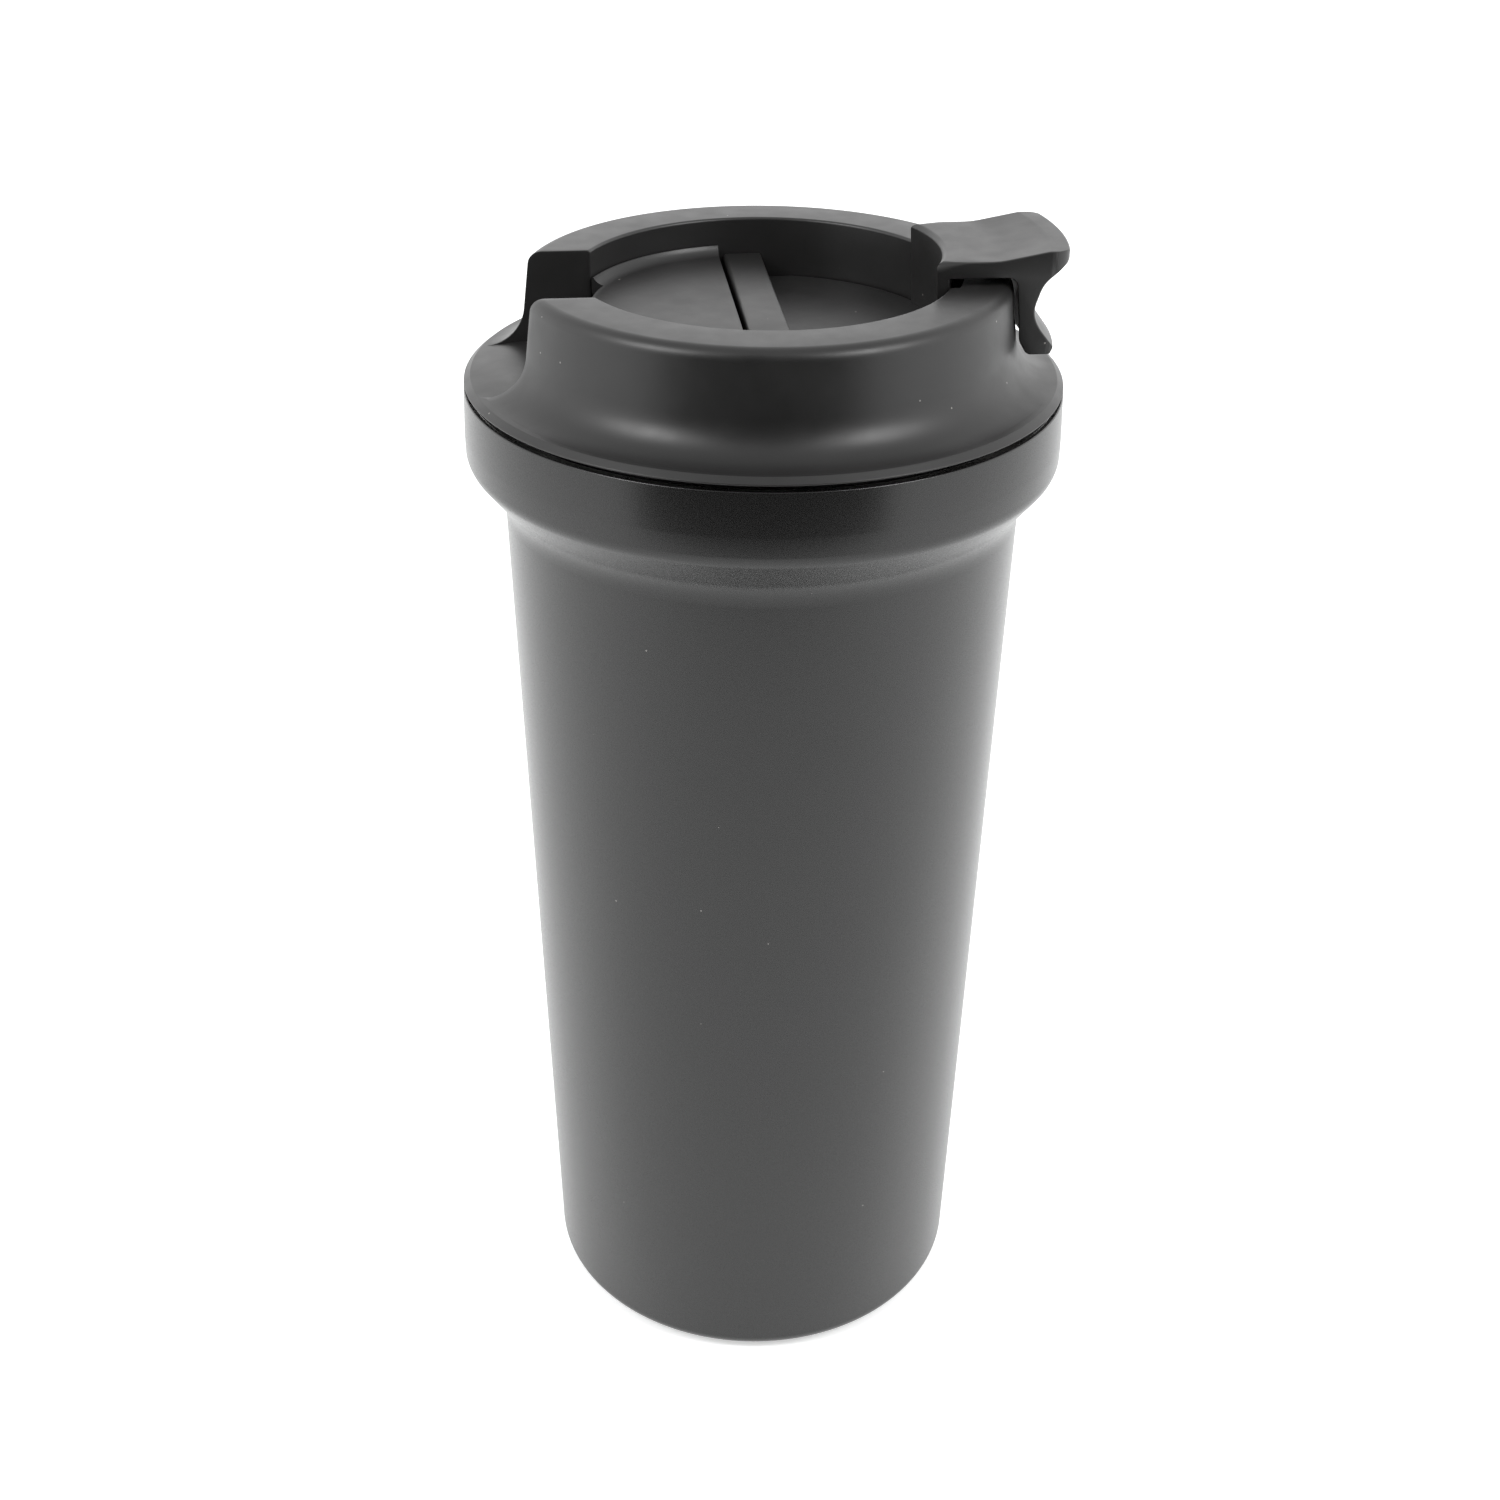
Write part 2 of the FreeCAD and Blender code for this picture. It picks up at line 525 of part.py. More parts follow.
def make_lid_core():
    """Lower moulding: deck, threaded skirt, gasket seat, drink channel and vent tube."""
    core = turned("core_wall", [
        ("0", "deck_top"),
        ("0", "deck_top - deck_wall"),
        ("deck_radius - deck_wall", "deck_top - deck_wall"),
        ("deck_radius - deck_wall", "lip_bottom - deck_wall"),
        ("skirt_inner_radius", "lip_bottom - deck_wall"),
        ("skirt_inner_radius", "skirt_bottom"),
        ("spigot_inner_radius", "skirt_bottom"),
        ("spigot_inner_radius", "spigot_bottom"),
        ("spigot_radius + spigot_lip", "spigot_bottom"),
        ("spigot_radius + spigot_lip", "spigot_bottom + spigot_lip"),
        ("spigot_radius", "spigot_bottom + spigot_lip"),
        ("spigot_radius", "seat_height"),
        ("seat_radius", "seat_height"),
        ("skirt_radius", "skirt_bottom"),
        ("skirt_radius", "lip_bottom"),
        ("deck_radius", "lip_bottom"),
        ("deck_radius", "deck_top"),
    ])
    tube = slot_block("channel_tube", "channel_radius + channel_wall",
                      "baffle_bottom + baffle_wall", "deck_top - deck_wall / 2")
    vent_tube = rod("vent_tube", "vent_radius + channel_wall", "baffle_bottom + baffle_wall",
                    "deck_top - deck_wall / 2", "vent_offset")
    keepers = [
        block("keeper_" + side,
              ("- hinge_behind_axis - pin_radius + pin_clearance", low, "deck_top - deck_wall"),
              ("- hinge_behind_axis + pin_radius - pin_clearance", high,
               "hinge_height - pin_radius"))
        for side, low, high in (
            ("left", "- pin_half_length + moulding_gap", "- ring_inner_radius - moulding_gap"),
            ("right", "ring_inner_radius + moulding_gap", "pin_half_length - moulding_gap"))
    ]
    whole = fused("core_with_tubes", [core, tube, vent_tube, make_thread()] + keepers)
    channel = slot_block("channel", "channel_radius", "baffle_bottom", "deck_top + tool_overrun")
    vent = rod("vent", "vent_radius", "baffle_bottom", "deck_top + tool_overrun",
               "vent_offset")
    screw_holes = [screw_rod("screw_hole", index, "screw_radius",
                             "lip_bottom - deck_wall - tool_overrun", "lip_bottom + tool_overrun")
                   for index in range(SCREWS)]
    return cut("lid_core", whole, fused("core_cuts", [channel, vent] + screw_holes))


def make_lid_baffle():
    """Cover welded under the lid core, with a low ring inside the spigot."""
    ring = "spigot_inner_radius - moulding_gap"
    disc = turned("baffle_disc", [
        ("0", "baffle_bottom"),
        ("baffle_radius - baffle_bevel", "baffle_bottom"),
        ("baffle_radius", "baffle_bottom + baffle_bevel"),
        ("baffle_radius", "spigot_bottom"),
        (ring, "spigot_bottom"),
        (ring, "spigot_bottom + baffle_ring_height"),
        (ring + " - baffle_ring_wall", "spigot_bottom + baffle_ring_height"),
        (ring + " - baffle_ring_wall", "baffle_bottom + baffle_wall"),
        ("0", "baffle_bottom + baffle_wall"),
    ])
    channel = slot_block("baffle_channel", "channel_radius",
                         "baffle_bottom - tool_overrun", "foam_bottom")
    vent = rod("baffle_vent", "vent_radius", "baffle_bottom - tool_overrun", "foam_bottom",
               "vent_offset")
    return cut("lid_baffle", disc, fused("baffle_cuts", [channel, vent]))


def make_lid_insulation():
    """Foam that fills the lid core, with room for the two tubes."""
    foam = turned("foam_disc", [
        ("0", "foam_bottom"),
        ("spigot_inner_radius - foam_gap", "foam_bottom"),
        ("spigot_inner_radius - foam_gap", "foam_step"),
        ("skirt_inner_radius - foam_gap", "foam_step"),
        ("skirt_inner_radius - foam_gap", "foam_top"),
        ("0", "foam_top"),
    ])
    channel = slot_block("foam_channel", "channel_radius + channel_wall + foam_gap / 2",
                         "foam_bottom - tool_overrun", "foam_top + tool_overrun")
    vent = rod("foam_vent", "vent_radius + channel_wall + foam_gap / 2",
               "foam_bottom - tool_overrun", "foam_top + tool_overrun", "vent_offset")
    return cut("lid_insulation", foam, fused("foam_cuts", [channel, vent]))


def make_lid_screws():
    """Four screws up through the core into the ring's bosses."""
    seat = "( lip_bottom - deck_wall )"
    pieces = []
    for index in range(SCREWS):
        pieces.append(screw_rod("screw_head", index, "screw_head_radius",
                                seat + " - screw_head_height", seat))
        pieces.append(screw_rod("screw_shank", index, "screw_radius", seat,
                                seat + " + screw_length"))
    return fused("lid_screws", pieces)


def make_lid_gasket():
    """Silicone ring with two fins that lean on the liner's step."""
    wall = "( spigot_radius + gasket_wall )"
    return turned("lid_gasket", [
        ("spigot_radius", "gasket_foot"),
        (wall, "gasket_foot"),
        ("lower_fin_radius", "lower_fin_height"),
        (wall, "lower_fin_height + fin_wall"),
        (wall, "upper_fin_height - fin_droop"),
        ("upper_fin_radius", "upper_fin_height"),
        (wall, "upper_fin_height + fin_wall"),
        (wall, "seat_height"),
        ("spigot_radius", "seat_height"),
    ])


def make_hinge_cover():
    """Fixed D-shaped cover on the notch side, with a coved raised edge and a skirt."""
    under = "( cover_top - cover_wall )"
    foot = "( deck_top + moulding_gap / 2 )"
    above = "cover_edge_top + tool_overrun"
    plate = turned("cover_plate", [
        ("0", under),
        ("cover_skirt_radius - cover_wall", under),
        ("cover_skirt_radius - cover_wall", foot),
        ("cover_skirt_radius", foot),
        ("cover_skirt_radius", under),
        ("cover_radius", under),
        ("cover_radius", "cover_edge_top"),
        ("cover_radius - cover_edge_width", "cover_edge_top", "cover_cove_bend", -1),
        ("cover_cove_radius", "cover_top"),
        ("0", "cover_top"),
    ])
    front_wall = shared("cover_front_wall", [
        block("cover_front_block",
              ("- cover_skirt_front - cover_wall", "- cover_radius", foot),
              ("- cover_skirt_front", "cover_radius", "cover_top")),
        rod("cover_front_round", "cover_skirt_radius", foot, "cover_top"),
    ])
    side = "cover_radius + tool_overrun"
    away = fused("cover_away", [
        block("cover_beyond_front", ("- cover_front", "- cover_radius - tool_overrun", under),
              (side, side, above)),
        block("cover_beyond_skirt",
              ("- cover_skirt_front", "- cover_radius - tool_overrun", foot + " - tool_overrun"),
              (side, side, under)),
        cut("cover_notch",
            block("cover_notch_width",
                  ("- cover_radius - tool_overrun", "- cover_notch_half_width",
                   under + " - tool_overrun"),
                  ("0", "cover_notch_half_width", above)),
            rod("cover_notch_core", "cover_skirt_radius", under + " - 2 * tool_overrun",
                above + " + tool_overrun")),
    ])
    return cut("hinge_cover", fused("cover_whole", [plate, front_wall]), away)


def make_hinge_pin():
    return cross_rod("hinge_pin", "pin_radius", "pin_half_length")


# ---- flap ----

def make_lever():
    """Riser, head and leg, turned about Z and trimmed to the lever's rounded plan."""
    hook = turned("lever_hook", [
        ("riser_foot_radius - lever_root", "plate_bottom"),
        ("riser_outer_radius", "plate_bottom"),
        ("riser_outer_radius", "head_under"),
        ("leg_inner_radius - leg_fillet", "head_under", "leg_fillet", -1),
        ("leg_inner_radius", "head_under - leg_fillet"),
        ("leg_bend_radius", "leg_bend_height", "toe_bend", 1),
        ("toe_heel_radius", "toe_bottom"),
        ("toe_tip_radius - lever_bevel", "toe_bottom"),
        ("toe_tip_radius", "toe_tip_height", "leg_lower_bend", -1),
        ("leg_neck_radius", "leg_neck_height", "leg_upper_bend", -1),
        ("tip_under_radius", "tip_under_height"),
        ("head_end_radius", "head_end_height"),
        ("head_end_radius", "head_tip_top - lever_bevel"),
        ("head_tip_radius + lever_bevel", "head_tip_top"),
        ("head_tip_radius", "head_tip_top", "head_top_bend", -1),
        ("head_rise_start", "head_top + head_swell"),
        ("riser_inner_radius", "head_top"),
        ("riser_foot_radius", "plate_top"),
        ("riser_foot_radius - lever_root", "plate_top"),
    ])
    plan = doc.addObject("PartDesign::Body", "lever_plan")
    side = "( lever_half_width - lever_corner )"
    corner_x = "sqrt( ( head_end_radius - lever_corner ) ^ 2 - %s ^ 2 )" % side
    reach = "( head_end_radius / ( head_end_radius - lever_corner ) )"
    sketch = outline(plan, "XY_Plane", [
        ("riser_inner_radius - 2 * lever_root", "- lever_half_width"),
        (corner_x, "- lever_half_width", "lever_corner", 1),
        ("%s * %s" % (corner_x, reach), "- %s * %s" % (side, reach), "head_end_radius", 1),
        ("%s * %s" % (corner_x, reach), "%s * %s" % (side, reach), "lever_corner", 1),
        (corner_x, "lever_half_width"),
        ("riser_inner_radius - 2 * lever_root", "lever_half_width"),
    ])
    pad = plan.newObject("PartDesign::Pad", "lever_plan_pad")
    pad.Profile = sketch
    pad.setExpression("Length", dim("head_tip_top + tool_overrun"))
    return shared("lever", [hook, plan])


def make_bar():
    """Bar across the lid with a round knuckle behind and below the hinge axis."""
    body = doc.addObject("PartDesign::Body", "bar_section")
    axis = "- hinge_behind_axis"
    back = axis + " - knuckle_radius"
    pad = body.newObject("PartDesign::Pad", "bar_length")
    pad.Profile = outline(body, "XZ_Plane", [
        (axis, "plate_bottom"),
        ("bar_front", "plate_bottom"),
        ("bar_front", "cover_top"),
        (back + " + bar_rounding", "cover_top", "bar_rounding", 1),
        (back, "cover_top - bar_rounding"),
        (back, "hinge_height", "knuckle_radius", 1),
        (axis, "hinge_height - knuckle_radius"),
    ])
    pad.Midplane = True
    pad.setExpression("Length", dim("2 * bar_half_length"))
    trim = rod("bar_trim", "flap_radius", "plate_bottom - knuckle_radius", "cover_top")
    return shared("bar", [body, trim])


def make_flap():
    """Flip lever in one moulding: bar with the knuckle, lower plate, riser, head and leg."""
    plate = shared("flap_plate", [
        rod("plate_round", "flap_radius", "plate_bottom", "plate_top"),
        block("plate_width", ("- hinge_behind_axis", "- plate_half_width", "plate_bottom"),
              ("flap_radius + tool_overrun", "plate_half_width", "plate_top")),
    ])
    whole = fused("flap_whole", [plate, make_bar(), make_lever()])
    bore = cross_rod("flap_bore", "pin_radius + pin_clearance", "bar_half_length + tool_overrun")
    return cut("flap", whole, bore)


def make_flap_seal():
    """Silicone plug for the drink hole, held under the lower plate."""
    foot = "( deck_top + seal_foot_gap )"
    flange = slot_block("seal_flange", "seal_flange_radius", foot, "plate_bottom")
    plug = slot_block("seal_plug", "seal_plug_radius", "deck_top - seal_plug_depth", foot)
    return fused("flap_seal", [flange, plug])


def make_vent_seal():
    foot = "( deck_top + seal_foot_gap )"
    pad = rod("vent_pad", "vent_seal_radius", foot, "plate_bottom", "vent_offset")
    tip = rod("vent_tip", "vent_tip_radius", "deck_top - vent_tip_depth", foot, "vent_offset")
    return fused("vent_seal", [pad, tip])


PIECES = [
    make_outer_shell(), make_inner_liner(), make_reflective_foil(), make_bottom_cap(),
    make_vacuum_seal_bead(), make_getter_cup(), make_getter(), make_pad_adhesive(),
    make_base_pad(), make_lid_shell(), make_lid_core(), make_lid_baffle(),
    make_lid_insulation(), make_lid_screws(), make_lid_gasket(), make_hinge_cover(),
    make_hinge_pin(), make_flap(), make_flap_seal(), make_vent_seal(),
]

doc.recompute()
for item in doc.Objects:
    if "Invalid" in item.State or "Error" in item.State:
        raise SystemExit("failed: %s %s" % (item.Name, item.State))

os.makedirs("parts", exist_ok=True)
for piece in PIECES:
    piece.Label = piece.Name
    if piece.Shape.isNull() or not piece.Shape.isValid():
        raise SystemExit("bad shape: " + piece.Label)
    print("%-18s volume %9.1f  solids %d" % (piece.Label, piece.Shape.Volume,
                                           len(piece.Shape.Solids)))
for piece in PIECES:
    piece.Shape.exportStep("parts/%s.step" % piece.Label)
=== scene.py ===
import json
import math

import bmesh
import bpy
import numpy as np
from mathutils import Matrix, Vector


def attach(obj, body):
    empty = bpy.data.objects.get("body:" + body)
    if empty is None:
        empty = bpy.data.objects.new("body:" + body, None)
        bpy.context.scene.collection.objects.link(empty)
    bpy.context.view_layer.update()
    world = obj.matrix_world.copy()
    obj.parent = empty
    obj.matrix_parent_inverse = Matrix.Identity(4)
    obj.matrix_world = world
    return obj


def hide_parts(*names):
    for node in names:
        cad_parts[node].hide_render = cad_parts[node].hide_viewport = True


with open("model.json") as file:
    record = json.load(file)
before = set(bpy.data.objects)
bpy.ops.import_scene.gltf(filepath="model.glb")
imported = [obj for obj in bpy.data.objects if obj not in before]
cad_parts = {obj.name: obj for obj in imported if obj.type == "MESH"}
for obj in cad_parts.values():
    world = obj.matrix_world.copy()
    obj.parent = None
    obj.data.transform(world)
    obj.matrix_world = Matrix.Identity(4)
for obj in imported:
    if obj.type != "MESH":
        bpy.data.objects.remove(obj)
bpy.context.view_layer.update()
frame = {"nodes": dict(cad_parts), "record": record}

# Shapes are written in millimetres and stored in metres.
MM = 0.001

# The lid's ring, its notch and the lever's room in it.
DECK_TOP = 167.5
RING_TOP = 181.2
RING_INNER = 27.3
NOTCH_HALF_WIDTH = 11.3
NOTCH_EDGE = 0.15
POCKET_RADIUS = 28.8
POCKET_HALF_WIDTH = 11.0
RELIEF_RADIUS = 36.2
RELIEF_FLOOR = 174.4
CORE_RADIUS = 31.05

# The hinge cover and its cut for the folded lever.
COVER_TOP = 175.8
COVER_UNDER = 174.6
COVER_SKIRT_INNER = 24.3
COVER_SKIRT_OUTER = 25.5
COVER_NOTCH_HALF_WIDTH = 10.95

# The flap: the lever, the plate and the bar on its hinge.
LEVER_HALF_WIDTH = 10.6
LEVER_END_RADIUS = 43.6
LEVER_CORNER = 3.0
LEVER_EDGE = 0.2
HEAD_TOP = 184.65
HEAD_TIP_TOP = 185.95
PLATE_UNDER = 170.8
PLATE_TOP = 172.3
PLATE_HALF_WIDTH = 25.6
FLAP_RADIUS = 26.8
HINGE_X = -0.5
HINGE_Z = 174.0
BORE_RADIUS = 0.85


# ---- mesh helpers ----

TURNED_STEPS = 180


def rounded(corners, step=9.0):
    """Closed outline of (x, z) points from corners (x, z) or (x, z, rounding)."""
    points = []
    for index, corner in enumerate(corners):
        here = Vector(corner[:2])
        if len(corner) == 2:
            points.append(here)
            continue
        back = (Vector(corners[index - 1][:2]) - here).normalized()
        ahead = (Vector(corners[(index + 1) % len(corners)][:2]) - here).normalized()
        opening = back.angle(ahead)
        reach = corner[2] / math.tan(opening / 2)
        centre = here + (back + ahead).normalized() * (corner[2] / math.sin(opening / 2))
        start = here + back * reach - centre
        turn = math.pi - opening
        side = 1 if back.x * ahead.y - back.y * ahead.x < 0 else -1
        pieces = max(2, round(math.degrees(turn) / step))
        for count in range(pieces + 1):
            angle = side * turn * count / pieces
            cos, sin = math.cos(angle), math.sin(angle)
            points.append(centre + Vector((start.x * cos - start.y * sin,
                                           start.x * sin + start.y * cos)))
    return points


def inset(outline, distance):
    """The closed counterclockwise outline moved inwards by a distance."""
    moved = []
    for index, here in enumerate(outline):
        back = (here - outline[index - 1]).normalized()
        ahead = (outline[(index + 1) % len(outline)] - here).normalized()
        inward = Vector((-back.y - ahead.y, back.x + ahead.x)).normalized()
        slant = max(0.5, inward.dot(Vector((-ahead.y, ahead.x))))
        moved.append(here + inward * (distance / slant))
    return moved


def mesh_object(name, vertices, faces):
    """Object from millimetre points, smooth except across its sharp edges."""
    mesh = bpy.data.meshes.new(name)
    mesh.from_pydata([tuple(x * MM for x in v) for v in vertices], [], faces)
    shape = bmesh.new()
    shape.from_mesh(mesh)
    bmesh.ops.recalc_face_normals(shape, faces=shape.faces)
    shape.to_mesh(mesh)
    shape.free()
    obj = bpy.data.objects.new(name, mesh)
    bpy.context.scene.collection.objects.link(obj)
    smooth(obj)
    return obj


def smooth(obj):
    """Smooth shading, broken at edges sharper than 40 degrees."""
    obj.data.shade_smooth()
    obj.data.set_sharp_from_angle(angle=math.radians(40.0))


def lathe(name, corners, step=9.0):
    """Closed ring or solid turned about the upright axis from an outline of (radius, height)."""
    outline = rounded(corners, step)
    vertices, rows = [], []
    for point in outline:
        if point.x < 1e-6:
            rows.append([len(vertices)] * TURNED_STEPS)
            vertices.append((0.0, 0.0, point.y))
            continue
        rows.append([len(vertices) + count for count in range(TURNED_STEPS)])
        for count in range(TURNED_STEPS):
            angle = 2 * math.pi * count / TURNED_STEPS
            vertices.append((point.x * math.cos(angle), point.x * math.sin(angle), point.y))
    faces = []
    for index in range(len(outline)):
        low, high = rows[index], rows[(index + 1) % len(outline)]
        for count in range(TURNED_STEPS):
            after = (count + 1) % TURNED_STEPS
            corners_of_face = [low[count], low[after], high[after], high[count]]
            # On the axis two corners are one, which leaves a triangle.
            face = list(dict.fromkeys(corners_of_face))
            if len(face) > 2:
                faces.append(face)
    return mesh_object(name, vertices, faces)


def loft(name, sections):
    """Solid through equal closed sections of points, closed by a flat face at each end."""
    size = len(sections[0])
    vertices = [point for section in sections for point in section]
    faces = []
    for row in range(len(sections) - 1):
        for index in range(size):
            after = (index + 1) % size
            faces.append([row * size + index, row * size + after,
                          (row + 1) * size + after, (row + 1) * size + index])
    faces.append(list(range(size)))
    faces.append([(len(sections) - 1) * size + index for index in reversed(range(size))])
    return mesh_object(name, vertices, faces)


def edge_steps(rounding):
    """(inset, distance from the end plane) pairs from the end plane to the full section."""
    count = 4
    steps = []
    for index in range(count + 1):
        angle = math.pi / 2 * (1 - index / count)
        steps.append((rounding * (1 - math.cos(angle)), rounding * (1 - math.sin(angle))))
    return steps


def boolean(obj, tool, operation, solver="EXACT"):
    """Applies a boolean and removes the tool."""
    change = obj.modifiers.new("cut", "BOOLEAN")
    change.operation = operation
    change.solver = solver
    change.object = tool
    bpy.context.view_layer.update()
    graph = bpy.context.evaluated_depsgraph_get()
    mesh = bpy.data.meshes.new_from_object(obj.evaluated_get(graph))
    obj.modifiers.clear()
    obj.data = mesh
    bpy.data.objects.remove(tool)
    smooth(obj)
    return obj


def prism(name, plan, low, high):
    """Upright solid over a counterclockwise plan."""
    return loft(name, [[(p[0], p[1], height) for p in plan] for height in (high, low)])


def rectangle(x_low, x_high, y_low, y_high):
    """Counterclockwise plan of a rectangle."""
    return [(x_low, y_low), (x_high, y_low), (x_high, y_high), (x_low, y_high)]


# ---- materials ----

DUST_CELLS_PER_METRE = 400
DUST_RADIUS = 0.055
DUST_COLOUR = (0.22, 0.21, 0.20, 1)
# The share of cells that stay free of dust.
COAT_CLEAN = 0.93
PLASTIC_CLEAN = 0.80


def node(tree, kind, **settings):
    """New shader node with its settings."""
    made = tree.nodes.new("ShaderNode" + kind)
    for name, value in settings.items():
        setattr(made, name, value)
    return made


def noise(tree, scale, detail=2.0, roughness=0.5):
    """Noise in object space; scale is the number of features in a metre."""
    place = node(tree, "TexCoord")
    grain = node(tree, "TexNoise")
    grain.inputs["Scale"].default_value = scale
    grain.inputs["Detail"].default_value = detail
    grain.inputs["Roughness"].default_value = roughness
    tree.links.new(place.outputs["Object"], grain.inputs["Vector"])
    return grain.outputs["Fac"]


def spread(tree, value, low, high, from_low=0.3, from_high=0.7):
    """Value scaled from one range to another."""
    scale = node(tree, "MapRange")
    for name, number in (("From Min", from_low), ("From Max", from_high),
                         ("To Min", low), ("To Max", high)):
        scale.inputs[name].default_value = number
    tree.links.new(value, scale.inputs["Value"])
    return scale.outputs["Result"]


def tinted(tree, value, dark, light):
    """Colour between two tones by a value from 0 to 1."""
    mix = node(tree, "Mix", data_type="RGBA")
    mix.inputs[6].default_value = (*dark, 1)
    mix.inputs[7].default_value = (*light, 1)
    tree.links.new(value, mix.inputs[0])
    return mix.outputs[2]


def bump(tree, heights):
    """Normal from (height, strength, depth in metres) layers."""
    normal = None
    for height, strength, depth in heights:
        layer = node(tree, "Bump")
        layer.inputs["Strength"].default_value = strength
        layer.inputs["Distance"].default_value = depth
        tree.links.new(height, layer.inputs["Height"])
        if normal:
            tree.links.new(normal, layer.inputs["Normal"])
        normal = layer.outputs["Normal"]
    return normal


def surface(name, metallic=0.0, specular=0.5, sheen=0.0):
    """New material, its tree and its shader."""
    made = bpy.data.materials.new(name)
    made.use_nodes = True
    shader = made.node_tree.nodes["Principled BSDF"]
    shader.inputs["Metallic"].default_value = metallic
    shader.inputs["Specular IOR Level"].default_value = specular
    shader.inputs["Sheen Weight"].default_value = sheen
    return made, made.node_tree, shader


def powder_coat():
    """Satin powder coat: fine orange peel, tiny pits and a few pale dust specks."""
    made, tree, shader = surface("powder_coat")
    cloud = noise(tree, 45, 3)
    grain = noise(tree, 5200, 1)
    peel = noise(tree, 900, 2)
    tone = tinted(tree, spread(tree, cloud, 0, 1), (0.0075, 0.0073, 0.0073),
                  (0.0090, 0.0088, 0.0087))
    tree.links.new(dusted(tree, tone, COAT_CLEAN), shader.inputs["Base Color"])
    tree.links.new(spread(tree, grain, 0.25, 0.30), shader.inputs["Roughness"])
    tree.links.new(bump(tree, [(peel, 0.05, 0.00003), (grain, 0.10, 0.00001)]),
                   shader.inputs["Normal"])
    return made


def dusted(tree, colour, clean):
    """Colour with sparse pale specks of dust in all but a clean share of cells."""
    place = node(tree, "TexCoord")
    cells = node(tree, "TexVoronoi")
    cells.inputs["Scale"].default_value = DUST_CELLS_PER_METRE
    tree.links.new(place.outputs["Object"], cells.inputs["Vector"])
    near = node(tree, "Math", operation="LESS_THAN")
    near.inputs[1].default_value = DUST_RADIUS
    tree.links.new(cells.outputs["Distance"], near.inputs[0])
    picked = node(tree, "SeparateColor")
    tree.links.new(cells.outputs["Color"], picked.inputs["Color"])
    rare = node(tree, "Math", operation="GREATER_THAN")
    rare.inputs[1].default_value = clean
    tree.links.new(picked.outputs["Red"], rare.inputs[0])
    both = node(tree, "Math", operation="MULTIPLY")
    tree.links.new(near.outputs["Value"], both.inputs[0])
    tree.links.new(rare.outputs["Value"], both.inputs[1])
    mix = node(tree, "Mix", data_type="RGBA")
    mix.inputs[7].default_value = DUST_COLOUR
    tree.links.new(both.outputs["Value"], mix.inputs[0])
    tree.links.new(colour, mix.inputs[6])
    return mix.outputs[2]


def moulded(name, dark, light, rough, grain_depth):
    """Moulded plastic with a fine spark-eroded texture."""
    made, tree, shader = surface(name)
    cloud = noise(tree, 60, 3)
    grain = noise(tree, 4200, 2)
    wear = noise(tree, 260, 4)
    tone = tinted(tree, spread(tree, cloud, 0, 1), dark, light)
    tree.links.new(dusted(tree, tone, PLASTIC_CLEAN), shader.inputs["Base Color"])
    tree.links.new(spread(tree, wear, rough - 0.03, rough + 0.03), shader.inputs["Roughness"])
    tree.links.new(bump(tree, [(grain, 0.25, grain_depth)]), shader.inputs["Normal"])
    return made


def brushed_steel(name, rough=0.28, tone=0.60):
    """Turned steel with fine rings about the upright axis."""
    made, tree, shader = surface(name, metallic=1.0)
    place = node(tree, "TexCoord")
    stretch = node(tree, "Mapping")
    stretch.inputs["Scale"].default_value = (1.0, 1.0, 60.0)
    grain = node(tree, "TexNoise")
    grain.inputs["Scale"].default_value = 120
    grain.inputs["Detail"].default_value = 3
    tree.links.new(place.outputs["Object"], stretch.inputs["Vector"])
    tree.links.new(stretch.outputs["Vector"], grain.inputs["Vector"])
    colour = tinted(tree, spread(tree, grain.outputs["Fac"], 0, 1),
                    (tone, tone * 0.985, tone * 0.97), (tone * 1.1, tone * 1.09, tone * 1.07))
    tree.links.new(colour, shader.inputs["Base Color"])
    tree.links.new(spread(tree, grain.outputs["Fac"], rough - 0.06, rough + 0.08),
                   shader.inputs["Roughness"])
    tree.links.new(bump(tree, [(grain.outputs["Fac"], 0.15, 0.00002)]),
                   shader.inputs["Normal"])
    return made


def silicone(name, dark, light):
    """Soft matt rubber with a faint bloom."""
    made, tree, shader = surface(name, specular=0.35, sheen=0.15)
    cloud = noise(tree, 90, 4)
    grain = noise(tree, 2600, 2)
    tree.links.new(tinted(tree, spread(tree, cloud, 0, 1), dark, light),
                   shader.inputs["Base Color"])
    tree.links.new(spread(tree, grain, 0.58, 0.70), shader.inputs["Roughness"])
    tree.links.new(bump(tree, [(grain, 0.2, 0.00003)]), shader.inputs["Normal"])
    return made


def bead_foam():
    """White bead foam: pale cells with sunken borders."""
    made, tree, shader = surface("bead_foam", specular=0.3)
    place = node(tree, "TexCoord")
    cells = node(tree, "TexVoronoi")
    cells.inputs["Scale"].default_value = 420
    tree.links.new(place.outputs["Object"], cells.inputs["Vector"])
    tree.links.new(tinted(tree, cells.outputs["Distance"], (0.86, 0.86, 0.83),
                          (0.70, 0.70, 0.67)), shader.inputs["Base Color"])
    tree.links.new(spread(tree, cells.outputs["Distance"], 0.75, 0.9, 0, 1),
                   shader.inputs["Roughness"])
    height = spread(tree, cells.outputs["Distance"], 1, 0, 0, 1)
    tree.links.new(bump(tree, [(height, 0.6, 0.0004)]), shader.inputs["Normal"])
    return made


def foil():
    """Crinkled bright foil."""
    made, tree, shader = surface("foil", metallic=1.0)
    crinkle = noise(tree, 300, 6, 0.6)
    tree.links.new(tinted(tree, spread(tree, crinkle, 0, 1), (0.78, 0.78, 0.79),
                          (0.88, 0.88, 0.88)), shader.inputs["Base Color"])
    tree.links.new(spread(tree, crinkle, 0.18, 0.32), shader.inputs["Roughness"])
    tree.links.new(bump(tree, [(crinkle, 0.5, 0.0002)]), shader.inputs["Normal"])
    return made


